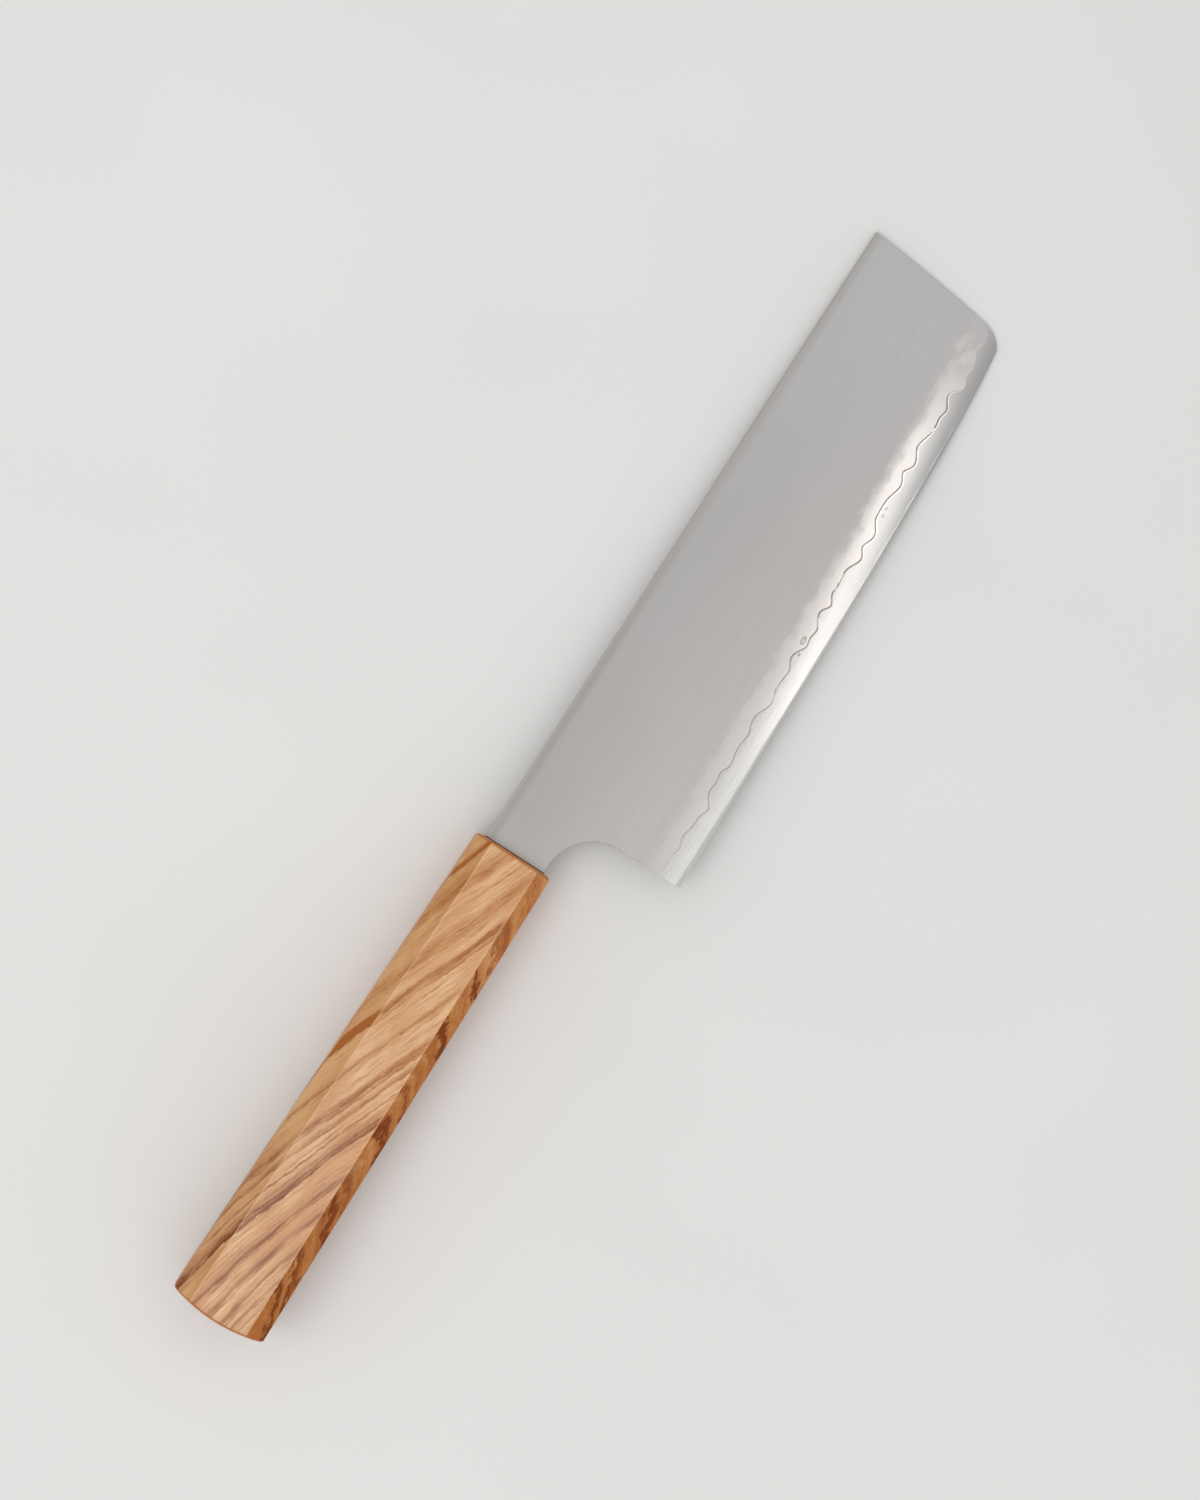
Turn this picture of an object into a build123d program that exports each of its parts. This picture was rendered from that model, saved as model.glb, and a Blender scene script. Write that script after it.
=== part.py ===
from build123d import *
import os

os.makedirs("parts", exist_ok=True)

# A nakiri: a laminated vegetable knife with a one-piece octagonal wooden handle.
# The knife is drawn straight. X runs from the handle's front face to the tip, Y from the cutting
# edge to the spine and Z out of the blade's right face, with the handle's axis on the X axis.
# The last section lays the finished pieces on a table, on the blade's left face.

# Blade, seen from the side (millimetres)
spine_length = 189.0
spine_height = 8.7
heel_depth = 49.45
heel_setback = 16.2
neck_depth = 17.8
choil_radius = 14.0
edge_rise = 4.8
tip_lift = 2.3
tip_lift_power = 12
nose_sweep = 3.9
nose_depth = 36.9
nose_bulge = 0.35
nose_corner_radius = 9.5
nose_corner_turn = 62

# Blade, seen from the spine
neck_thickness = 2.5
tip_thickness = 1.7
face_taper_share = 0.01
bevel_height = 13.0
bevel_bulge_share = 0.48
bevel_reach_share = 1.2
edge_thickness = 0.24
keen_height = 0.5
edge_round = 0.3
station_shares = [0, 0.3, 0.6, 0.8, 0.9, 0.95, 1]

# Layers: a hard core between two soft claddings, with a wavy forged boundary above the edge
core_neck_thickness = 0.76
core_tip_thickness = 0.5
core_tang_thickness = 0.6
lamination_start = 12.5
lamination_pitch = 2.5
lamination_height = 5.5
lamination_shares = [
    1.2, 1.19, 1.15, 1.07, 1.05, 0.93, 1.09, 1.03, 0.94, 0.92, 0.76, 1.04, 1.16, 1.13, 1.18,
    0.99, 1.04, 1.1, 1.07, 1.03, 1.18, 1.19, 1.01, 0.87, 1, 1.02, 1, 0.98, 1.2, 1.1,
    0.86, 0.92, 0.84, 1.06, 1.14, 0.87, 1.1, 1.1, 1.12, 1.13, 0.93, 0.79, 1.03, 0.87, 0.84,
    1.13, 1.2, 1.2, 1.14, 0.99, 0.98, 1.18, 0.91, 0.97, 1.19, 1.11, 0.97, 0.92, 0.95, 0.84,
    1.07, 1.04, 0.55, 0.74, 0.66, 0.71, 0.87, 0.71, 0.72, 1.05, 1.25,
]

# Tang, and the bed of adhesive around it
tang_length = 95.0
tang_front_depth = 12.0
tang_end_depth = 7.5
tang_front_thickness = 2.1
tang_end_thickness = 1.5
tang_end_radius = 2.5
adhesive_gap = 0.35
adhesive_end_gap = 3.0
joint_film = 0.3
bed_proud = 0.2

# Handle
handle_length = 143.0
handle_front_width = 22.2
handle_front_thickness = 18.5
handle_butt_width = 27.1
handle_butt_thickness = 21.0
corner_front_width = 4.05
corner_butt_width = 5.1
corner_drop_share = 1.2
butt_dome = 2.1
facet_round = 0.9
front_rim_round = 1.2
butt_rim_round = 0.9

# One overrun serves all cutting and trimming shapes
overrun = 1.0

blank_length = spine_length + overrun
blade_reach = heel_depth + spine_height
neck_bottom = spine_height - neck_depth


def plane_through(first, second, third):
    first, second, third = Vector(first), Vector(second), Vector(third)
    across = second - first
    return Plane(origin=first, x_dir=across, z_dir=across.cross(third - first))


def edge_y(x):
    # the cutting edge has a slight belly and lifts a little more towards the nose
    along = x / spine_length
    belly = edge_rise * along**2 + tip_lift * along**tip_lift_power
    return spine_height - heel_depth + belly


def face_half(x, y):
    # each face is one plane: it closes in towards the nose and towards the edge
    spine_half = (neck_thickness + (tip_thickness - neck_thickness) * x / spine_length) / 2
    return spine_half - face_taper_share * (spine_height - y)


def bevel_point(x, share):
    # share 0 is the keen height and share 1 the shoulder, where the bevel meets the flat face
    keen = edge_y(x) + keen_height
    shoulder = edge_y(x) + bevel_height
    keen_half = edge_thickness / 2
    bulge = bevel_bulge_share * share * (1 - share)
    rise = (face_half(x, shoulder) - keen_half) * (share + bulge)
    return keen + (shoulder - keen) * share, keen_half + rise


def bevel_section(x):
    # the room that the two convex bevels leave: above the shoulder it opens clear of the flat faces
    with BuildSketch(Plane.YZ.offset(x)) as section:
        with BuildLine():
            keen = Line((edge_y(x), 0), bevel_point(x, 0))
            middle = bevel_point(x, bevel_reach_share / 2)
            bevel = ThreePointArc(keen @ 1, middle, bevel_point(x, bevel_reach_share))
            Polyline(bevel @ 1, (spine_height + overrun, neck_thickness), (spine_height + overrun, 0))
            mirror(about=Plane.XZ)
        make_face()
    return section.sketch


def bar_section(x, depth, thickness):
    with BuildSketch(Plane.YZ.offset(x)) as section:
        Rectangle(depth, thickness)
    return section.sketch


with BuildPart() as bevel_room:
    add([bevel_section(blank_length * share) for share in station_shares])
    loft()

# Blade: the outline, ground to two flat faces and two bevels
with BuildPart() as ground_blade:
    with BuildSketch():
        with BuildLine():
            spine_tip = Vector(spine_length, spine_height)
            nose_low = spine_tip - Vector(nose_sweep, nose_depth)
            nose_middle = (spine_tip + nose_low) / 2 + Vector(nose_bulge, 0)
            nose = ThreePointArc(spine_tip, nose_middle, nose_low)
            corner = JernArc(nose @ 1, nose % 1, nose_corner_radius, -nose_corner_turn)
            clear = Line(corner @ 1, (corner @ 1) + (corner % 1) * blade_reach)
            below = Line(clear @ 1, (heel_setback, (clear @ 1).Y))
            heel = Line(below @ 1, (heel_setback, neck_bottom - choil_radius))
            choil = RadiusArc(heel @ 1, (heel_setback - choil_radius, neck_bottom), -choil_radius)
            Polyline(choil @ 1, (joint_film, neck_bottom), (joint_film, spine_height), spine_tip)
        make_face()
    extrude(amount=neck_thickness, both=True)
    heel_y = edge_y(0)
    right_face = plane_through(
        (0, spine_height, face_half(0, spine_height)),
        (0, heel_y, face_half(0, heel_y)),
        (spine_length, spine_height, tip_thickness / 2),
    )
    split(bisect_by=right_face, keep=Keep.BOTTOM)
    mirror(about=Plane.XY, mode=Mode.INTERSECT)
    flat_faces = ground_blade.faces().sort_by(Axis.Z)
    for face in (flat_faces[0], flat_faces[-1]):
        # every edge but the one at the neck's end, which stays square to meet the handle
        fillet(face.edges().sort_by(Axis.X)[1:], radius=edge_round)
    add(bevel_room.part, mode=Mode.INTERSECT)

with BuildPart() as tang:
    add(bar_section(joint_film, tang_front_depth, tang_front_thickness))
    add(bar_section(-tang_length, tang_end_depth, tang_end_thickness))
    loft(ruled=True)
    end_corners = tang.faces().sort_by(Axis.X)[0].edges().filter_by(Axis.Z)
    fillet(end_corners, radius=tang_end_radius)

with BuildPart() as blade_blank:
    add(ground_blade.part)
    add(tang.part)

# Space of the core: a thin slab through blade and tang, and all of the blade below the boundary
with BuildPart() as core_space:
    with BuildSketch(Plane.XZ):
        with BuildLine():
            Polyline(
                (-tang_length - overrun, 0),
                (-tang_length - overrun, core_tang_thickness / 2),
                (0, core_neck_thickness / 2),
                (blank_length, core_tip_thickness / 2),
                (blank_length, 0),
            )
            mirror(about=Plane.XZ)
        make_face()
    extrude(amount=blade_reach, both=True)
    with BuildSketch():
        with BuildLine():
            boundary = []
            for count, share in enumerate(lamination_shares):
                x = lamination_start + lamination_pitch * count
                boundary.append((x, edge_y(x) + lamination_height * share))
            forged = Spline(boundary)
            Polyline(forged @ 1, (x, -blade_reach), (lamination_start, -blade_reach), forged @ 0)
        make_face()
    extrude(amount=neck_thickness, both=True)

with BuildPart() as core_steel:
    add(blade_blank.part)
    add(core_space.part, mode=Mode.INTERSECT)

with BuildPart() as cladding_right:
    add(blade_blank.part)
    add(core_space.part, mode=Mode.SUBTRACT)
    split(bisect_by=Plane.XY, keep=Keep.TOP)

with BuildPart() as cladding_left:
    mirror(cladding_right.part, about=Plane.XY)

with BuildPart() as mortise:
    for x, depth, thickness in (
        (0, tang_front_depth, tang_front_thickness),
        (-tang_length - adhesive_end_gap, tang_end_depth, tang_end_thickness),
    ):
        add(bar_section(x, depth + 2 * adhesive_gap, thickness + 2 * adhesive_gap))
    loft(ruled=True)

# Handle: one quarter is planed to its flats, then mirrored to a tapered octagon with a domed butt
with BuildPart() as handle:
    front_half_width = handle_front_width / 2
    butt_half_width = handle_butt_width / 2
    front_half_thickness = handle_front_thickness / 2
    butt_half_thickness = handle_butt_thickness / 2
    with BuildSketch():
        Polygon(
            (0, 0),
            (0, front_half_width),
            (-handle_length, butt_half_width),
            (-handle_length, 0),
            align=None,
        )
    extrude(amount=butt_half_thickness)
    flat_edge = (0, front_half_width - corner_front_width, front_half_thickness)
    side_edge = (0, front_half_width, front_half_thickness - corner_front_width * corner_drop_share)
    butt_edge = (-handle_length, butt_half_width - corner_butt_width, butt_half_thickness)
    split(bisect_by=plane_through((0, 0, front_half_thickness), flat_edge, butt_edge), keep=Keep.BOTTOM)
    split(bisect_by=plane_through(flat_edge, side_edge, butt_edge), keep=Keep.BOTTOM)
    mirror(about=Plane.XY)
    mirror(about=Plane.XZ)
    facet_edges = handle.edges().sort_by(SortBy.LENGTH)[-8:]
    fillet(facet_edges, radius=facet_round)
    dome_radius = (butt_half_width**2 + butt_dome**2) / (2 * butt_dome)
    with BuildSketch(Plane.XZ):
        with BuildLine():
            dome = JernArc((-handle_length, 0), (0, 1), dome_radius, -90)
            Polyline(dome @ 1, (overrun, dome_radius), (overrun, 0), dome @ 0)
        make_face()
    revolve(axis=Axis.X, mode=Mode.INTERSECT)
    fillet(handle.faces().sort_by(Axis.X)[0].edges(), radius=butt_rim_round)
    fillet(handle.faces().sort_by(Axis.X)[-1].edges(), radius=front_rim_round)
    add(mortise.part, mode=Mode.SUBTRACT)

# Adhesive: fills the mortise round the tang, with a thin bed under the neck's shoulders
with BuildPart() as tang_adhesive:
    add(mortise.part)
    with BuildSketch(Plane.YZ):
        with Locations((spine_height - neck_depth / 2, 0)):
            Rectangle(neck_depth + 2 * bed_proud, neck_thickness + 2 * bed_proud)
    extrude(amount=joint_film)
    add(blade_blank.part, mode=Mode.SUBTRACT)

# Laid down: the knife rests on the handle's front corner and on the flat of the blade at the nose
flat_corner = corner_front_width - handle_front_width / 2
handle_foot = Vector(-front_rim_round, flat_corner, -handle_front_thickness / 2)
spine_foot = Vector(spine_length, spine_height - edge_round, -tip_thickness / 2)
shoulder_y = edge_y(spine_length) + bevel_height
bevel_foot = nose @ ((spine_height - shoulder_y) / nose_depth)
bevel_foot -= Vector(0, 0, face_half(bevel_foot.X, bevel_foot.Y))
upright = (bevel_foot - handle_foot).cross(spine_foot - handle_foot)
table = Plane(origin=handle_foot, x_dir=(1, 0, 0), z_dir=upright)
pieces = [core_steel, cladding_right, cladding_left, handle, tang_adhesive]
onto_table = table.location.inverse()
footprint = Compound([onto_table * piece.part for piece in pieces]).bounding_box()
middle = footprint.center()
lay_down = Location((-middle.X, -middle.Y, -footprint.min.Z)) * onto_table
for piece in pieces:
    piece.part.move(lay_down)

core_steel.part.label = "core_steel"
export_step(core_steel.part, "parts/core_steel.step")

cladding_right.part.label = "cladding_right"
export_step(cladding_right.part, "parts/cladding_right.step")

cladding_left.part.label = "cladding_left"
export_step(cladding_left.part, "parts/cladding_left.step")

handle.part.label = "handle"
export_step(handle.part, "parts/handle.step")

tang_adhesive.part.label = "tang_adhesive"
export_step(tang_adhesive.part, "parts/tang_adhesive.step")
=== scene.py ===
from math import cos, pi, radians

import bmesh
import bpy
from mathutils import Euler, Matrix, Vector
from mathutils.kdtree import KDTree


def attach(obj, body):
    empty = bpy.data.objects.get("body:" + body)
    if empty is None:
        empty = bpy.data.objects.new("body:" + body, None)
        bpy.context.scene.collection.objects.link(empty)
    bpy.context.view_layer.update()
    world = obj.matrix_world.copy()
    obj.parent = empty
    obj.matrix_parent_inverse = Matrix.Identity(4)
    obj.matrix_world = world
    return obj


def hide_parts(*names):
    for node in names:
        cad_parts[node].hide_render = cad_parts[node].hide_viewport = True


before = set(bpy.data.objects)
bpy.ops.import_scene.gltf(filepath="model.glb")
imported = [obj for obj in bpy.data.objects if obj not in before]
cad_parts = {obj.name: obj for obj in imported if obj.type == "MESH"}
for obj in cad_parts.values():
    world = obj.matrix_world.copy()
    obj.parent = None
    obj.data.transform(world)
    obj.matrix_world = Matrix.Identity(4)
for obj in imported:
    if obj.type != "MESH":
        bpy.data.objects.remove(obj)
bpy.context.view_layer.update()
print("packed knife loaded:", ", ".join(sorted(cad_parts)))

# The knife lies on its left face. Its own frame is in millimetres, from the handle's front face:
# x towards the tip, y towards the spine, z out of the right face.
knifeLies = {
    "place": (-0.02296889, 0.01391088, 0.00929233),  # metres on the table
    "turn": (0.82381, 2.595291, 0.0),  # degrees
    "millimetre": 0.001,
}
knifeTurn = Euler([radians(angle) for angle in knifeLies["turn"]])
knifeScale = [knifeLies["millimetre"]] * 3
knifeToTable = Matrix.LocRotScale(Vector(knifeLies["place"]), knifeTurn, Vector(knifeScale))
tableToKnife = knifeToTable.inverted()


def tone(red, green, blue):
    # a screen colour, 0 to 255, as the linear colour that a shader takes
    linear = []
    for value in (red, green, blue):
        share = value / 255
        linear.append(share / 12.92 if share < 0.04045 else ((share + 0.055) / 1.055) ** 2.4)
    return linear + [1.0]


def fillSockets(node, values):
    # each value is a plain one, or a wire to link
    for name, value in values.items():
        if isinstance(value, Wire):
            node.id_data.links.new(value.socket, node.inputs[name])
        else:
            node.inputs[name].default_value = value


class Wire:
    # one output socket in a node tree, so that shader maths is written as plain sums
    def __init__(self, tree, socket=None):
        self.tree = tree
        self.socket = socket

    def node(self, kind, settings=None, inputs=None, output=0):
        made = self.tree.nodes.new(kind)
        for name, value in (settings or {}).items():
            setattr(made, name, value)
        fillSockets(made, inputs or {})
        return Wire(self.tree, made.outputs[output]) if made.outputs else made

    def maths(self, operation, first, second=0.0):
        return self.node("ShaderNodeMath", {"operation": operation}, {0: first, 1: second})

    def __add__(self, other):
        return self.maths("ADD", self, other)

    __radd__ = __add__

    def __sub__(self, other):
        return self.maths("SUBTRACT", self, other)

    def __rsub__(self, other):
        return self.maths("SUBTRACT", other, self)

    def __mul__(self, other):
        return self.maths("MULTIPLY", self, other)

    def __truediv__(self, other):
        return self.maths("DIVIDE", self, other)

    def __pow__(self, other):
        return self.maths("POWER", self, other)

    def above(self, low, high):
        # 0 below the first value, 1 above the second, with a smooth rise between them
        settings = {"interpolation_type": "SMOOTHSTEP"}
        inputs = {"Value": self, "From Min": low, "From Max": high}
        return self.node("ShaderNodeMapRange", settings, inputs)

    def fading(self, low, high, share=1.0):
        # falls from 1 by this share between two values
        return 1 - self.above(low, high) * share

    def shown(self, start, full, last, end):
        # rises from 0 to 1 between the first two values, and falls back between the last two
        return self.above(start, full) * self.fading(last, end)

    def absolute(self):
        return self.maths("ABSOLUTE", self)

    def mixed(self, first, second, blend="MIX"):
        # this wire is the share of the second colour
        settings = {"data_type": "RGBA", "blend_type": blend, "clamp_factor": True}
        return self.node("ShaderNodeMix", settings, {0: self, 6: first, 7: second}, 2)

    def axis(self, letter):
        return self.node("ShaderNodeSeparateXYZ", None, {0: self}, "XYZ".index(letter))

    def facing(self, direction):
        # how far this normal turns towards a direction, from -1 to 1
        settings = {"operation": "DOT_PRODUCT"}
        return self.node("ShaderNodeVectorMath", settings, {0: self, 1: direction}, "Value")

    def mapped(self, place=(0, 0, 0), turn=(0, 0, 0), size=(1, 1, 1), kind="POINT"):
        inputs = {"Vector": self, "Location": place, "Rotation": turn, "Scale": size}
        return self.node("ShaderNodeMapping", {"vector_type": kind}, inputs)

    def noise(self, scale, detail=2.0, roughness=0.5, stretch=(1, 1, 1), turn=(0, 0, 0)):
        # on places in the knife's space
        place = self.mapped(turn=turn, size=stretch)
        inputs = {"Vector": place, "Scale": scale, "Detail": detail, "Roughness": roughness}
        return self.node("ShaderNodeTexNoise", None, inputs)

    def lineNoise(self, scale, detail, roughness):
        # on one number, such as a growth layer's
        inputs = {"W": self, "Scale": scale, "Detail": detail, "Roughness": roughness}
        return self.node("ShaderNodeTexNoise", {"noise_dimensions": "1D"}, inputs)


def newFinish(name):
    # an empty material with its surface shader, and the knife's own coordinates in millimetres
    material = bpy.data.materials.new(name)
    material.use_nodes = True
    tree = material.node_tree
    shader = tree.nodes["Principled BSDF"]
    place = Wire(tree).node("ShaderNodeTexCoord", None, None, "Object")
    knifeSpace = place.mapped(knifeLies["place"], tuple(knifeTurn), knifeScale, "TEXTURE")
    return material, shader, knifeSpace


def measured(knifeSpace, name):
    # a distance in millimetres that a piece's vertices carry
    return knifeSpace.node("ShaderNodeAttribute", {"attribute_name": name}, None, "Fac")


# Blade: the ground skins get an even grid, so that the forge line and the polish can follow them

blade = {
    "spineLength": 189.0,
    "spineHeight": 8.7,
    "heelDepth": 49.45,
    "edgeRise": 4.8,
    "tipLift": 2.3,
    "tipLiftPower": 12,
    "neckThickness": 2.5,
    "tipThickness": 1.7,
    "faceTaper": 0.01,
    "bevelHeight": 13.0,
    "bevelBulge": 0.48,
    "keenHeight": 0.5,
    "edgeThickness": 0.24,
    "shoulderBlend": 3.0,  # how far the bevel's shoulder is softened to each side by hand polishing
    "slopeStep": 0.2,  # over which a skin's slope is read
    "gridStep": 0.5,
    "gridTop": -17.0,
    "gridMerge": 0.001,
    "mergeMetres": 0.000001,
    "skinAngle": 5.0,  # a skin faces straight out to within this many degrees
    "skinSlack": 0.04,
    "seamSteep": 0.3,  # the wall under the forge line turns across the blade by more than this
    "seamHeights": (2.5, 8.5),  # and lies this far above the edge
    "seamPlaces": 8,  # places noted along each edge of the line
    "lineHeight": 5.5,  # the forge line's usual height above the edge
    "claddingLift": 0.012,  # keeps the cladding's thin lip clear of the core under it
    "sharpAngle": 52.0,
}


def edgeHeight(x):
    along = max(x, 0) / blade["spineLength"]
    lift = blade["edgeRise"] * along**2 + blade["tipLift"] * along ** blade["tipLiftPower"]
    return blade["spineHeight"] - blade["heelDepth"] + lift


def flatHalf(x, y):
    taper = (blade["tipThickness"] - blade["neckThickness"]) * x / blade["spineLength"]
    return (blade["neckThickness"] + taper) / 2 - blade["faceTaper"] * (blade["spineHeight"] - y)


def bevelHalf(x, y):
    shoulder = edgeHeight(x) + blade["bevelHeight"]
    share = (y - edgeHeight(x) - blade["keenHeight"]) / (blade["bevelHeight"] - blade["keenHeight"])
    share = max(share, 0)
    bulged = share + blade["bevelBulge"] * share * (1 - share)
    keenHalf = blade["edgeThickness"] / 2
    return keenHalf + (flatHalf(x, shoulder) - keenHalf) * bulged


def skinHalf(x, y):
    return bevelHalf(x, y) if y < edgeHeight(x) + blade["bevelHeight"] else flatHalf(x, y)


def skinNormal(x, y, side):
    # the bevel's slope runs into the flat face's over the softened shoulder
    step = blade["slopeStep"]
    shoulder = edgeHeight(x) + blade["bevelHeight"]
    share = (y - shoulder + blade["shoulderBlend"]) / (2 * blade["shoulderBlend"])
    share = min(max(share, 0), 1)
    share = share * share * (3 - 2 * share)
    slopes = []
    for half in (bevelHalf, flatHalf):
        slopeAlong = half(x - step, y) - half(x + step, y)
        slopeAcross = half(x, y - step) - half(x, y + step)
        slopes.append(Vector((slopeAlong, slopeAcross)))
    slope = slopes[0].lerp(slopes[1], share) / (2 * step)
    return Vector((slope.x, slope.y, side)).normalized()


def skinFaces(bm, side):
    # every face joined to the lowest one that faces straight out and lies at the ground surface
    limit = cos(radians(blade["skinAngle"]))
    outward = set()
    for face in bm.faces:
        middle = face.calc_center_median()
        depth = skinHalf(middle.x, middle.y) - middle.z * side
        if face.normal.z * side > limit and abs(depth) < blade["skinSlack"]:
            outward.add(face)
    lowest = min(outward, key=lambda face: face.calc_center_median().y)
    found, waiting = {lowest}, [lowest]
    while waiting:
        for edge in waiting.pop().edges:
            for other in edge.link_faces:
                if other in outward and other not in found:
                    found.add(other)
                    waiting.append(other)
    return found


def cutSkin(bm, mark, side, axis, place):
    normal = Vector((0, 0, 0))
    normal[axis] = 1
    crossing = []
    for face in bm.faces:
        if face[mark] == side:
            places = [vert.co[axis] for vert in face.verts]
            if min(places) < place < max(places):
                crossing.append(face)
    if crossing:
        edges = {edge for face in crossing for edge in face.edges}
        verts = {vert for face in crossing for vert in face.verts}
        geometry = crossing + list(edges) + list(verts)
        bmesh.ops.bisect_plane(
            bm, geom=geometry, dist=blade["gridMerge"], plane_co=normal * place, plane_no=normal
        )


def seamPlaces(skin):
    # places along the skin's border with the wall under the forge line
    lowest, highest = blade["seamHeights"]
    count = blade["seamPlaces"]
    found = []
    for edge in {edge for face in skin for edge in face.edges}:
        walls = [face.normal for face in edge.link_faces if face not in skin]
        steep = walls and abs(walls[0].y) > blade["seamSteep"] > abs(walls[0].z)
        low, high = (vert.co for vert in edge.verts)
        middle = (low + high) / 2
        if steep and lowest < middle.y - edgeHeight(middle.x) < highest:
            found += [low.lerp(high, share / count) for share in range(count + 1)]
    return found


def groundCopy(nodeName, pieceName, sides, lift, material):
    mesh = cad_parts[nodeName].data.copy()
    mesh.name = pieceName
    mesh.attributes.remove(mesh.attributes["custom_normal"])
    bm = bmesh.new()
    bm.from_mesh(mesh)
    bmesh.ops.remove_doubles(bm, verts=bm.verts, dist=blade["mergeMetres"])
    bm.transform(tableToKnife)
    bm.normal_update()
    mark = bm.faces.layers.int.new("skin")
    seam = []
    for side in sides:
        skin = skinFaces(bm, side)
        seam += seamPlaces(skin)
        made = bmesh.ops.dissolve_faces(bm, faces=list(skin), use_verts=False)["region"]
        for face in made:
            face[mark] = side
        step = blade["gridStep"]
        for count in range(1, int(blade["spineLength"] / step)):
            cutSkin(bm, mark, side, 0, count * step)
        bottom = blade["spineHeight"] - blade["heelDepth"]
        for count in range(1, int((blade["gridTop"] - bottom) / step)):
            cutSkin(bm, mark, side, 1, bottom + count * step)
        for vert in bm.verts:
            if all(face[mark] == side for face in vert.link_faces):
                vert.co.z = side * (skinHalf(vert.co.x, vert.co.y) + lift)
    bm.normal_update()
    for face in bm.faces:
        face.smooth = True
    for edge in bm.edges:
        edge.smooth = edge.calc_face_angle(0) < radians(blade["sharpAngle"])
    seamTree = KDTree(len(seam))
    for count, place in enumerate(seam):
        seamTree.insert(place, count)
    seamTree.balance()
    fromSeam = bm.verts.layers.float.new("fromSeam")
    fromEdge = bm.verts.layers.float.new("fromEdge")
    for vert in bm.verts:
        vert[fromSeam] = seamTree.find(vert.co)[2]
        vert[fromEdge] = vert.co.y - edgeHeight(vert.co.x)
    normals = []
    turned = knifeTurn.to_matrix()
    for face in bm.faces:
        for vert in face.verts:
            if face[mark]:
                normals.append(turned @ skinNormal(vert.co.x, vert.co.y, face[mark]))
            else:
                normals.append((0, 0, 0))
    bm.transform(knifeToTable)
    bm.to_mesh(mesh)
    bm.free()
    mesh.normals_split_custom_set(normals)
    mesh.materials.clear()
    mesh.materials.append(material)
    piece = bpy.data.objects.new(pieceName, mesh)
    bpy.context.scene.collection.objects.link(piece)
    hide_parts(nodeName)
    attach(piece, "root")
    print(f"{pieceName}: {len(mesh.polygons)} faces, {len(seam)} seam places")
    return piece


satin = {
    "heel": tone(181, 176, 174),
    "middle": tone(186, 184, 184),
    "nose": tone(195, 194, 195),
    "halfLength": 90,  # the tone changes from one to the next over this
    "unevenness": (0.25, 0.35),  # how far the grain and the clouds shift it
    "bevelGlow": tone(198, 193, 190),  # painted reflection of the lamps' glow: the heel's half is lighter towards the bevel
    "bevelGlowRise": (-6, 28),
    "bevelGlowUneven": 8,
    "bevelGlowFades": (40, 150, 0.75),  # from the first x to the second, by this share
    "neckward": tone(190, 186, 183),
    "neckwardShare": 0.45,
    "neckwardFades": (0, 10),
    # painted shade: the face is darker towards the spine, mostly near the heel
    "spineward": tone(169, 164, 159),
    "spineShadeRise": (5.6, 7.5),
    "spineShadeFades": (20, 120, 0.55),
    # painted highlight along the spine's rounded edge
    "spineHighlight": tone(177, 174, 171),
    "spineHighlightRise": (7.9, 8.3),
    "grainNoise": (1.6, 4.0, 0.7, (0.02, 1.0, 1.0)),  # scale, detail, roughness and stretch
    "cloudNoise": (0.05, 3.0),
    "scratch": tone(164, 160, 158),  # the finest lengthwise grinding lines
    "scratchShows": (0.3, 0.75),
    "scratchShare": 0.2,
    # the polished haze above the forge line, lighter also as a painted reflection of the lamps'
    # glow
    "hazeAndGlow": tone(214, 209, 206),
    "line": tone(124, 112, 105),
    "lineReach": (0.088, 0.352),  # millimetres from the seam, where it starts to fade and is gone
    "lineShows": (14, 36, 161, 166),  # fades in behind the heel and out before the nose
    "lineFaint": (0.5, 60, 110),  # its strength near the heel, and where that rises to full
    "lineNoise": (0.35, 2.0),
    "lineUneven": (0.7, 0.6),  # its strength over the noise, and at the least
    "hazeReach": (1.9, 5.6),  # millimetres above the forge line
    "hazeShows": (-12, 45, 170, 188),
    "hazeClouds": 3.4,
    "mistNoise": (0.5, 3.0, 0.6, (0.5, 1.0, 1.0)),
    "hazeRise": (115, 150, 0.6),  # it stands higher from the first place to the second
    "hazePuffs": (164, 177),  # towards the nose it breaks into puffs and climbs further
    "hazeClimb": 1.0,
    "puffNoise": (0.32, 3.0, 0.55, (0.7, 1.0, 1.0)),
    "puffShows": (0.42, 0.62),
    "puffGaps": 0.85,  # how much of the haze goes between the puffs
    "roughness": 0.3,
    "hazeRoughness": 0.13,
    "grain": 0.03,
    "flawBlur": (0.75, 1.25),
    "holeBlur": 0.4,
    "flaws": [
        # small ones by the forge line: x, y, half length, half height, hole, strength
        (88.4, -33.45, 1.25, 0.62, 0.75, 0.6),
        (88.6, -33.4, 0.5, 0.22, 0.0, 0.4),
        (84.6, -34.5, 0.5, 0.28, 0.0, 0.6),
        (129.4, -33.1, 0.55, 0.25, 0.0, 0.5),
        (127.35, -33.35, 0.5, 0.3, 0.0, 0.5),
    ],
}


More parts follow.
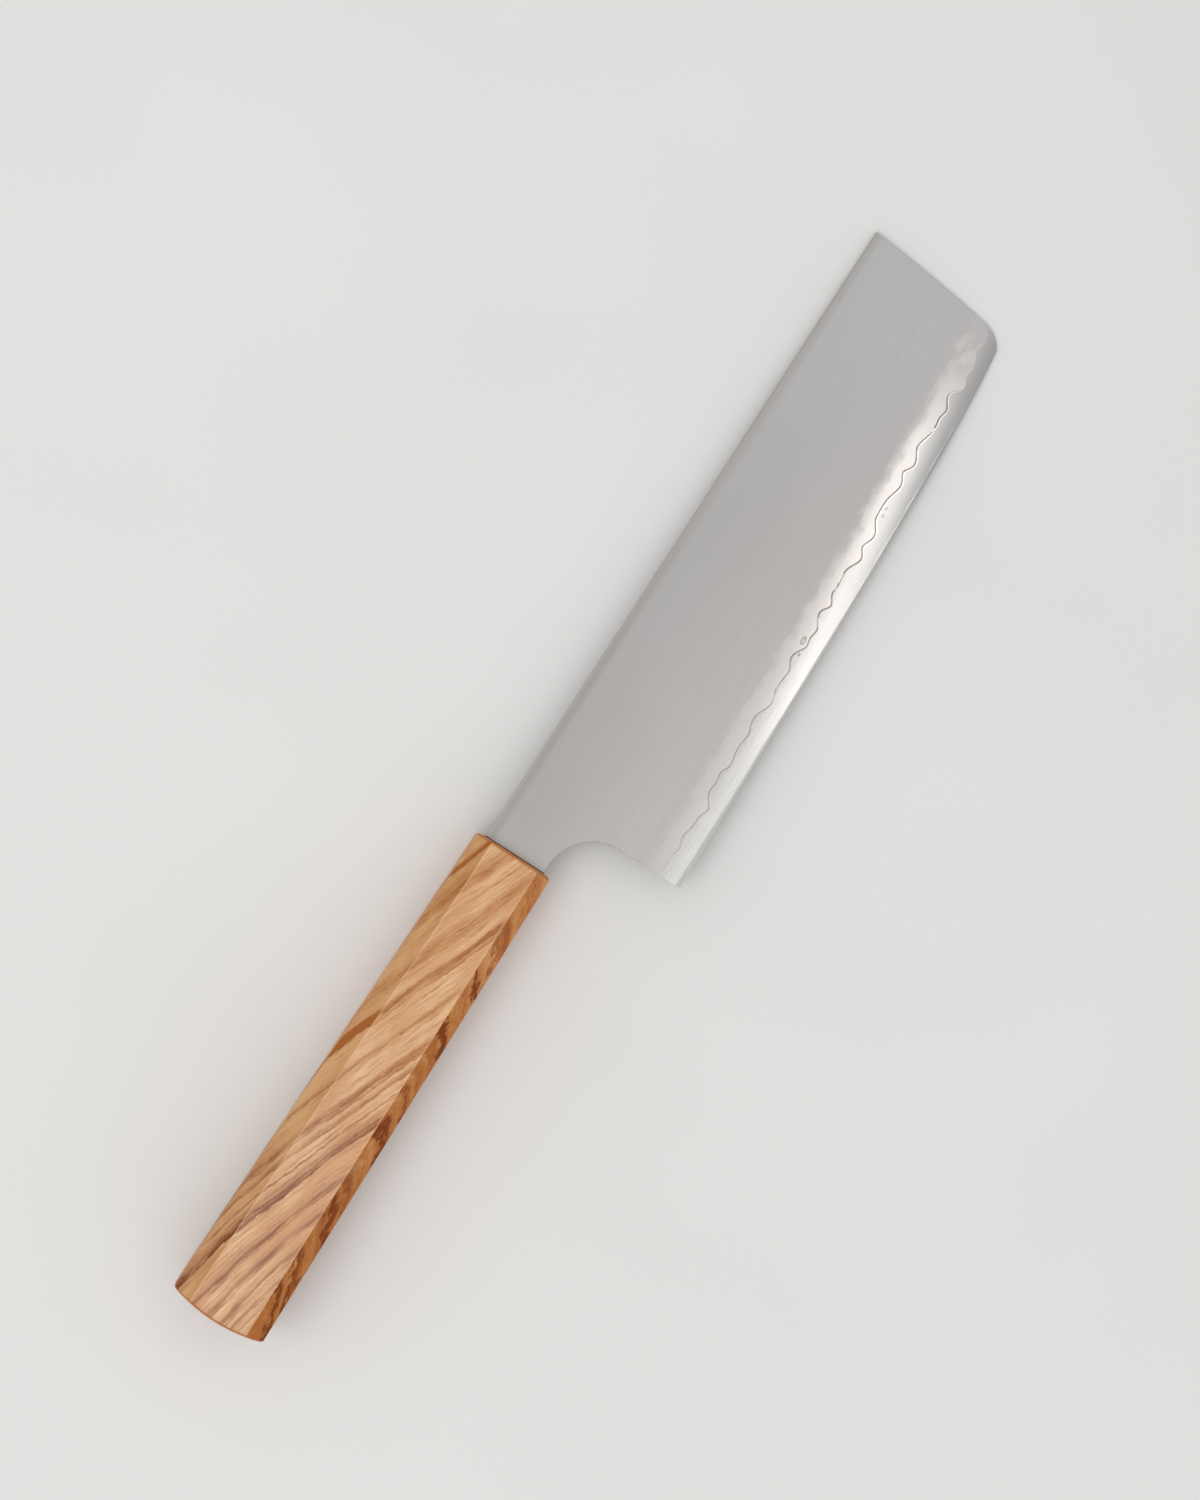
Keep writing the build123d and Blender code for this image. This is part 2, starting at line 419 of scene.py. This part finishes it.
def forgeMarks(knifeSpace, body, fromSeam):
    # the dark line between the layers, and the flaws beside it
    x, y = knifeSpace.axis("X"), knifeSpace.axis("Y")
    span, least = satin["lineUneven"]
    uneven = knifeSpace.noise(*satin["lineNoise"]) * span + least
    faint, first, last = satin["lineFaint"]
    uneven = uneven * (x.above(first, last) * (1 - faint) + faint)
    line = fromSeam.fading(*satin["lineReach"])
    body = (line * uneven * x.shown(*satin["lineShows"])).mixed(body, satin["line"])
    for place, height, halfLength, halfHeight, hole, strength in satin["flaws"]:
        side = (x - place) / halfLength
        rise = (y - height) / halfHeight
        reach = (side * side + rise * rise) ** 0.5
        ringed = reach.fading(*satin["flawBlur"]) * reach.above(hole - satin["holeBlur"], hole)
        body = (ringed * strength).mixed(body, satin["line"])
    return body


def satinSteel():
    material, shader, knifeSpace = newFinish("satinCladdingSteel")
    grain = knifeSpace.noise(*satin["grainNoise"])
    cloud = knifeSpace.noise(*satin["cloudNoise"])
    fromSeam, fromEdge = (measured(knifeSpace, name) for name in ("fromSeam", "fromEdge"))
    x, y = knifeSpace.axis("X"), knifeSpace.axis("Y")
    byGrain, byCloud = satin["unevenness"]
    uneven = (grain - 0.5) * byGrain + (cloud - 0.5) * byCloud
    half = satin["halfLength"]
    body = (x / half + uneven).above(0, 1).mixed(satin["heel"], satin["middle"])
    body = ((x - half) / half + uneven).above(0, 1).mixed(body, satin["nose"])
    # painted reflection: lighter towards the bevel in the heel's half
    bevelGlow = (uneven * satin["bevelGlowUneven"] - y).above(*satin["bevelGlowRise"])
    bevelGlow = bevelGlow * x.fading(*satin["bevelGlowFades"])
    body = bevelGlow.mixed(body, satin["bevelGlow"])
    neckward = x.fading(*satin["neckwardFades"]) * satin["neckwardShare"]
    body = neckward.mixed(body, satin["neckward"])
    scratches = grain.above(*satin["scratchShows"]) * satin["scratchShare"]
    body = scratches.mixed(body, satin["scratch"])
    # painted shade towards the spine
    spineward = y.above(*satin["spineShadeRise"]) * x.fading(*satin["spineShadeFades"])
    body = spineward.mixed(body, satin["spineward"])
    # painted highlight along the spine's rounded edge
    body = y.above(*satin["spineHighlightRise"]).mixed(body, satin["spineHighlight"])
    mist = knifeSpace.noise(*satin["mistNoise"]) - 0.5
    low, high, rise = satin["hazeRise"]
    noseward = x.above(*satin["hazePuffs"])
    # half by the line's own bends and half by its usual height
    reach = fromSeam * 0.5 + (fromEdge - blade["lineHeight"]) * 0.5
    reach = reach - x.above(low, high) * rise - noseward * satin["hazeClimb"]
    # the haze is a real polish, and its lighter tone is partly a painted reflection
    hazeAndGlow = (reach + mist * satin["hazeClouds"]).fading(*satin["hazeReach"])
    gaps = noseward * (1 - knifeSpace.noise(*satin["puffNoise"]).above(*satin["puffShows"]))
    hazeAndGlow = hazeAndGlow * x.shown(*satin["hazeShows"]) * (1 - gaps * satin["puffGaps"])
    body = hazeAndGlow.mixed(body, satin["hazeAndGlow"])
    body = forgeMarks(knifeSpace, body, fromSeam)
    rough = satin["roughness"] + (grain - 0.5) * satin["grain"]
    rough = rough - hazeAndGlow * (satin["roughness"] - satin["hazeRoughness"])
    fillSockets(shader, {"Base Color": body, "Metallic": 1.0, "Roughness": rough})
    return material


core = {
    "dark": tone(202, 200, 198),
    "light": tone(211, 209, 207),
    "nose": tone(170, 169, 169),  # painted shade: the core is darker at the edge towards the nose
    "shadeFrom": (85, 155),
    "shadeHeight": (0.0, 6.0),
    "shadeShares": (0.75, 0.3),  # how much painted shade: more at the edge, and some of it all over
    "streakNoise": (1.6, 3.0, 0.6, (0.12, 1.6, 1.0), (0, 0, radians(35))),  # turned, too
    "streakShows": (0.3, 0.7),
    "glint": tone(250, 248, 246),  # a painted highlight: a thin bright line under the line's last peaks
    "glintShows": (112, 122, 163, 167),
    "glintReach": (0.15, 0.3, 0.35, 0.6),  # millimetres below the line
    "roughness": 0.12,
    "grain": 0.03,
}


def polishedCore():
    material, shader, knifeSpace = newFinish("polishedCoreSteel")
    streaks = knifeSpace.noise(*core["streakNoise"])
    fromSeam, fromEdge = (measured(knifeSpace, name) for name in ("fromSeam", "fromEdge"))
    x = knifeSpace.axis("X")
    body = streaks.above(*core["streakShows"]).mixed(core["dark"], core["light"])
    # painted shade towards the nose, strongest at the edge
    atEdge, allOver = core["shadeShares"]
    noseShade = fromEdge.fading(*core["shadeHeight"]) * atEdge + allOver
    body = (x.above(*core["shadeFrom"]) * noseShade).mixed(body, core["nose"])
    # painted highlight just below the forge line
    glint = fromSeam.shown(*core["glintReach"]) * x.shown(*core["glintShows"])
    body = glint.mixed(body, core["glint"])
    body = forgeMarks(knifeSpace, body, fromSeam)
    rough = core["roughness"] + (streaks - 0.5) * core["grain"]
    fillSockets(shader, {"Base Color": body, "Metallic": 1.0, "Roughness": rough})
    return material


# Handle: growth layers wrap a line above the edge's side, and the facets show them as streaks

wood = {
    "heart": (-12.2, 14.1),  # y and z of that line
    "lean": 0.371,  # how fast the layers open towards the tip
    "middle": -70,  # x halfway along the handle
    "bendLength": 70,  # the layers also wind, from the middle along and across,
    "bendWidth": 10,
    "bend": (1.384, -1.5, 0.264, 0.762),  # by these factors of the powers of both
    "sideBend": (0.131, 0.743),
    "driftNoise": (0.12, 2.0, 0.5, (0.3, 1.0, 1.0)),  # scale, detail, roughness and stretch
    "drift": 2.2,  # millimetres over which it shifts the layers
    "wobbleNoise": (0.8, 4.0, 0.65, (0.25, 1.0, 1.0)),
    "wobble": 1.3,
    "pale": tone(222, 173, 130),
    "paler": tone(236, 195, 153),
    "paleNoise": (0.1, 2.0, 0.5, (0.4, 1.0, 1.0)),
    "midway": (0.35, 0.65),  # a noise's middle part, made a full rise
    "buttTan": tone(192, 143, 110),
    "frontTan": tone(198, 142, 94),
    "tanShows": (-0.3, 0.65),  # how dark the layers are where a tone comes in
    "buttStreak": tone(150, 100, 80),
    "frontStreak": tone(168, 108, 68),
    "streakShows": (0.35, 1.15),
    "fromButt": (-100, -45),  # where the butt's tones go over into the front's
    "spineButtStreak": tone(128, 68, 32),
    "spineFrontStreak": tone(164, 96, 44),
    "spineStreakShows": (0.55, 1.05),
    "spineFromButt": (-110, -60),
    "fibreStretch": (0.12, 1.7, 0.4),  # along the handle, across the layers and upward
    "fibreNoise": (1.0, 4.0, 0.75),
    "fibres": 1.6,  # how much they darken
    "fray": 1.4,  # how far they shift a streak's border
    "spineFray": 0.8,
    "burlFray": 2.5,
    "fadeNoise": (0.18, 3.0, 0.6, (0.4, 1.0, 1.0)),  # along it the streaks fade and come back
    "fadeRise": (0.3, 0.65),
    "fade": (0.6, 0.55),  # a streak's strength over that rise, and at the least
    "lineNoise": (1.3, 3.0, 0.7),
    "lineShows": (0.42, 0.72),
    "lines": (0.35, 0.15),  # the fine lines' strength in a cluster, and everywhere
    "clusterNoise": (0.25, 2.0, 0.5, (0.3, 1.0, 1.0)),
    "broadNoise": (0.45, 2.0, 0.6),
    "broad": 0.8,
    "sideTurns": (0.3, 0.65),  # how far a facet faces the spine or the edge
    "endTurns": (0.12, 0.6),
    "streaks": [
        # place among the layers, sharp side, width, soft side, strength
        (-40.0, 0.8, 0.2, 1.2, 0.45),
        (-37.2, 0.8, 0.4, 1.8, 0.55),
        (-33.8, 0.8, 0.6, 2.4, 0.65),
        (-29.2, 1.2, 0.3, 2.2, 0.55),
        (-22.9, 0.5, 0.1, 0.8, 0.60),
        (-22.6, 0.6, 0.4, 3.2, 0.65),
        (-19.3, 0.4, 0.1, 0.8, 0.50),
        (-16.2, 0.8, 0.2, 1.4, 0.50),
        (-13.6, 1.2, 0.8, 1.6, 0.60),
        (-7.0, 1.0, 0.3, 1.6, 0.45),
        (-1.0, 0.6, 2.0, 0.5, 0.68),
        (4.8, 1.4, 1.6, 2.4, 0.45),
        (14.0, 1.4, 1.2, 2.8, 0.45),
        (20.0, 0.6, 0.2, 1.8, 1.05),
    ],
    "ridgeHighlight": (6.8, 0.01154),  # a painted highlight where a wide facet ends: y at the front, and its growth
    "ridgeHighlightReach": (0.09, 0.3),
    "ridgeHighlightShare": 0.3,
    "amber": tone(174, 98, 26),  # the edge's side is mottled with it
    "amberShares": (0.6, 0.4, 0.0016),  # of figure and curl, and less for each millimetre forward
    "amberShows": (0.34, 0.64),
    "amberShare": 0.85,
    "figureNoise": (0.4, 4.0, 0.7),
    "curlNoise": (0.35, 3.0, 0.6, (0.6, 1.0, 1.0)),
    "curl": 5.5,  # millimetres over which it shifts them there
    "burl": tone(128, 58, 4),
    "burlLeast": 0.6,
    "burls": [
        (-40.3, 1.0, 0.4, 1.3, 1.00),
        (-37.5, 0.8, 0.3, 1.0, 0.80),
        (-32.2, 1.0, 0.6, 1.5, 1.00),
        (-29.3, 0.9, 0.2, 1.2, 0.50),
        (-23.2, 1.2, 0.7, 1.7, 1.00),
        (-18.5, 0.7, 0.2, 0.8, 0.65),
        (-11.6, 1.5, 0.9, 1.2, 1.00),
        (-5.3, 0.7, 0.4, 0.9, 1.00),
        (-2.3, 0.6, 0.2, 0.7, 0.55),
    ],
    # the spine's side: partly its own figure, partly painted shade of a facet turned from the light
    "spineTintAndShade": tone(230, 218, 197),
    "spineCalm": (-104, -86, -34, -14),  # the spine's side is plainer along this stretch,
    "spineCalmBy": 0.28,
    "spineStreak": (-0.7, 0.5, 1.2, 0.8, 1.2),  # but for one strong streak
    # the edge's side: partly its own figure, partly painted shade of a facet turned from the light
    "edgeTintAndShade": tone(240, 212, 176),
    "rim": tone(178, 104, 50),
    "rimShare": 0.8,
    "roughness": 0.42,
    "grain": 0.12,
    "shine": 0.1,  # oiled wood throws back little of the room
}


def layered(ring, layers):
    # each layer darkens at once on its sharp side and fades slowly on its soft side
    dark = None
    for place, sharp, width, soft, strength in layers:
        fall = ring.fading(place + width, place + width + soft)
        layer = ring.above(place - sharp, place) * fall * fall * strength
        dark = layer if dark is None else dark + layer
    return dark


def oliveWood():
    material, shader, knifeSpace = newFinish("oliveWood")
    x, y, z = (knifeSpace.axis(letter) for letter in "XYZ")
    upward = z - wood["heart"][1]
    across = y - wood["heart"][0]
    ring = (across * across + upward * upward) ** 0.5 + x * wood["lean"]
    fromMiddle = x - wood["middle"]
    along = fromMiddle / wood["bendLength"]
    aside = y / wood["bendWidth"]
    fourth, third, twist, second = wood["bend"]
    ring = ring + along * along * (along * (along * fourth + third) + aside * twist + second)
    twist, second = wood["sideBend"]
    ring = ring - aside * (along * twist + aside * second)
    drift = knifeSpace.noise(*wood["driftNoise"]) - 0.5
    wobble = knifeSpace.noise(*wood["wobbleNoise"]) - 0.5
    ring = ring + drift * wood["drift"] + wobble * wood["wobble"]

    # how dark each layer is: the streaks, then clusters of fine lines, broad bands and fibres
    stretch = wood["fibreStretch"]
    fibreInputs = {"X": x * stretch[0], "Y": ring * stretch[1], "Z": z * stretch[2]}
    fibreSpace = knifeSpace.node("ShaderNodeCombineXYZ", None, fibreInputs)
    fibre = fibreSpace.noise(*wood["fibreNoise"]) - 0.5
    span, least = wood["fade"]
    fade = knifeSpace.noise(*wood["fadeNoise"]).above(*wood["fadeRise"]) * span + least
    dark = layered(ring + fibre * wood["fray"], wood["streaks"]) * fade
    inCluster, everywhere = wood["lines"]
    clusters = knifeSpace.noise(*wood["clusterNoise"]).above(*wood["midway"])
    lines = ring.lineNoise(*wood["lineNoise"]).above(*wood["lineShows"])
    dark = dark + lines * (clusters * inCluster + everywhere)
    broad = ring.lineNoise(*wood["broadNoise"]) - 0.5
    dark = dark + broad * wood["broad"] + fibre * wood["fibres"]

    # which way the surface faces, in the knife's own directions
    normal = knifeSpace.node("ShaderNodeTexCoord", None, None, "Normal")
    forward, spineward = list(knifeTurn.to_matrix().col)[:2]
    spineSide = normal.facing(spineward).above(*wood["sideTurns"])
    edgeSide = normal.facing(-spineward).above(*wood["sideTurns"])
    ends = normal.facing(forward).absolute().above(*wood["endTurns"])
    strong = layered(ring + fibre * wood["spineFray"], [wood["spineStreak"]])
    calm = spineSide * x.shown(*wood["spineCalm"])
    dark = dark + calm * (strong - wood["spineCalmBy"])

    pale = knifeSpace.noise(*wood["paleNoise"]).above(*wood["midway"])
    pale = pale.mixed(wood["pale"], wood["paler"])
    fromButt = x.above(*wood["fromButt"])
    tan = fromButt.mixed(wood["buttTan"], wood["frontTan"])
    body = dark.above(*wood["tanShows"]).mixed(pale, tan)
    streak = fromButt.mixed(wood["buttStreak"], wood["frontStreak"])
    body = dark.above(*wood["streakShows"]).mixed(body, streak)
    # partly the wood's own tint, partly painted shade on the spine's side
    body = spineSide.mixed(body, wood["spineTintAndShade"], "MULTIPLY")
    fromButt = x.above(*wood["spineFromButt"])
    streak = fromButt.mixed(wood["spineButtStreak"], wood["spineFrontStreak"])
    body = (dark.above(*wood["spineStreakShows"]) * spineSide).mixed(body, streak)
    # partly the wood's own tint, partly painted shade on the edge's side
    body = edgeSide.mixed(body, wood["edgeTintAndShade"], "MULTIPLY")

    # the amber mottling and the burls on the edge's side, then the painted highlight on the ridges,
    # and the ends
    curl = knifeSpace.noise(*wood["curlNoise"])
    curled = ring + (curl - 0.5) * wood["curl"] + fibre * wood["burlFray"]
    figure = curled.lineNoise(*wood["figureNoise"])
    byFigure, byCurl, forwardLoss = wood["amberShares"]
    amber = figure * byFigure + curl * byCurl - fromMiddle * forwardLoss
    amber = amber.above(*wood["amberShows"]) * edgeSide
    body = (amber * wood["amberShare"]).mixed(body, wood["amber"])
    burl = layered(curled, wood["burls"]) * (curl + wood["burlLeast"]) * edgeSide
    body = burl.mixed(body, wood["burl"])
    ridgeHeight, ridgeGrowth = wood["ridgeHighlight"]
    offRidge = (y.absolute() - ridgeHeight + x * ridgeGrowth).absolute()
    # painted highlight along the facets' ridges
    ridgeHighlight = offRidge.fading(*wood["ridgeHighlightReach"]) * wood["ridgeHighlightShare"]
    body = ridgeHighlight.mixed(body, wood["paler"])
    body = (ends * wood["rimShare"]).mixed(body, wood["rim"])
    rough = wood["roughness"] + fibre * wood["grain"]
    inputs = {"Base Color": body, "Roughness": rough, "Specular IOR Level": wood["shine"]}
    fillSockets(shader, inputs)
    return material


adhesive = {
    "dark": tone(34, 28, 25),
    "light": tone(64, 54, 48),
    "speckNoise": (2.0, 2.0),
    "roughness": 0.6,
}


def darkAdhesive():
    material, shader, knifeSpace = newFinish("curedAdhesive")
    speck = knifeSpace.noise(*adhesive["speckNoise"])
    body = speck.mixed(adhesive["dark"], adhesive["light"])
    fillSockets(shader, {"Base Color": body, "Roughness": adhesive["roughness"]})
    return material


claddingFinish = satinSteel()
claddingLift = blade["claddingLift"]
for nodeName, pieceName, sides, lift, slot, finish in (
    ("cladding_right", "claddingRight", (1,), claddingLift, "cladding_steel", claddingFinish),
    ("cladding_left", "claddingLeft", (-1,), claddingLift, "cladding_steel", claddingFinish),
    ("core_steel", "coreSteel", (1, -1), 0, "core_steel", polishedCore()),
):
    piece = groundCopy(nodeName, pieceName, sides, lift, finish)
for nodeName, finish in (("handle", oliveWood()), ("tang_adhesive", darkAdhesive())):
    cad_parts[nodeName].material_slots[0].material = finish
print("finishes made")

# Studio: a plain pale floor, soft lamps and the photograph's camera

studio = {
    "floorRadius": 12.0,
    "floorSides": 96,
    "floorColour": tone(236, 235, 233),
    "floorCloud": tone(228, 227, 225),
    "floorNoise": (0.01, 2.0),
    "floorRoughness": 0.7,
    "backdrop": tone(232, 232, 231),
    "fill": 0.76,
    "lens": 86.384,
    "cameraPlace": (0.0118996, 0.0662953, 0.9457977),
    "cameraTurn": (-1.861876, -2.900929, -56.978413),
    "lamps": [
        # name, place, heading in degrees, size, brightness and colour
        ("keySoftbox", (-0.6, 0.45, 1.35), 0, (1.0, 1.0), 1.6, (1.0, 1.0, 1.0)),
        ("edgeSoftbox", (0.318, -0.33, 1.3), 34, (0.27, 0.052), 1.48, (1.0, 0.98, 0.96)),
        ("heelSoftbox", (0.12, -0.44, 1.3), 10, (0.32, 0.16), 0.4, (1.0, 1.0, 1.0)),
    ],
}


def softbox(name, place, heading, size, brightness, colour):
    # every lamp faces straight down, with its first side turned to its heading
    lamp = bpy.data.lights.new(name, "AREA")
    lamp.shape = "RECTANGLE"
    lamp.size, lamp.size_y = size
    lamp.energy = brightness * pi * size[0] * size[1]
    lamp.color = colour
    holder = bpy.data.objects.new(name, lamp)
    holder.location = place
    holder.rotation_euler = (0, 0, radians(heading))
    bpy.context.scene.collection.objects.link(holder)


def makeFloor():
    mesh = bpy.data.meshes.new("floor")
    bm = bmesh.new()
    sides, radius = studio["floorSides"], studio["floorRadius"]
    bmesh.ops.create_circle(bm, cap_ends=True, segments=sides, radius=radius)
    bm.to_mesh(mesh)
    bm.free()
    floor = bpy.data.objects.new("floor", mesh)
    bpy.context.scene.collection.objects.link(floor)
    material, shader, knifeSpace = newFinish("paleFloor")
    cloud = knifeSpace.noise(*studio["floorNoise"])
    body = cloud.mixed(studio["floorColour"], studio["floorCloud"])
    fillSockets(shader, {"Base Color": body, "Roughness": studio["floorRoughness"]})
    mesh.materials.append(material)


def makeWorld():
    world = bpy.data.worlds.new("studioLight")
    bpy.context.scene.world = world
    world.use_nodes = True
    tree = world.node_tree
    tree.nodes.clear()
    start = Wire(tree)
    # the camera and reflections see the backdrop, and everything else gets the plain fill
    seen = 0.0
    for name in ("Is Camera Ray", "Is Glossy Ray", "Is Transmission Ray"):
        ray = start.node("ShaderNodeLightPath", None, None, name)
        seen = ray.maths("MAXIMUM", seen, ray)
    backdrop, fill = (
        start.node("ShaderNodeBackground", None, {"Color": colour, "Strength": strength})
        for colour, strength in ((studio["backdrop"], 1.0), ((1, 1, 1, 1), studio["fill"]))
    )
    both = start.node("ShaderNodeMixShader", None, {0: seen, 1: fill, 2: backdrop})
    start.node("ShaderNodeOutputWorld", None, {"Surface": both})


makeFloor()
makeWorld()
for lampValues in studio["lamps"]:
    softbox(*lampValues)

lens = bpy.data.cameras.new("photoCamera")
lens.lens = studio["lens"]
camera = bpy.data.objects.new("photoCamera", lens)
camera.location = studio["cameraPlace"]
camera.rotation_euler = [radians(angle) for angle in studio["cameraTurn"]]
bpy.context.scene.collection.objects.link(camera)
bpy.context.scene.camera = camera
bpy.context.scene.view_settings.view_transform = "Standard"
print("studio set")
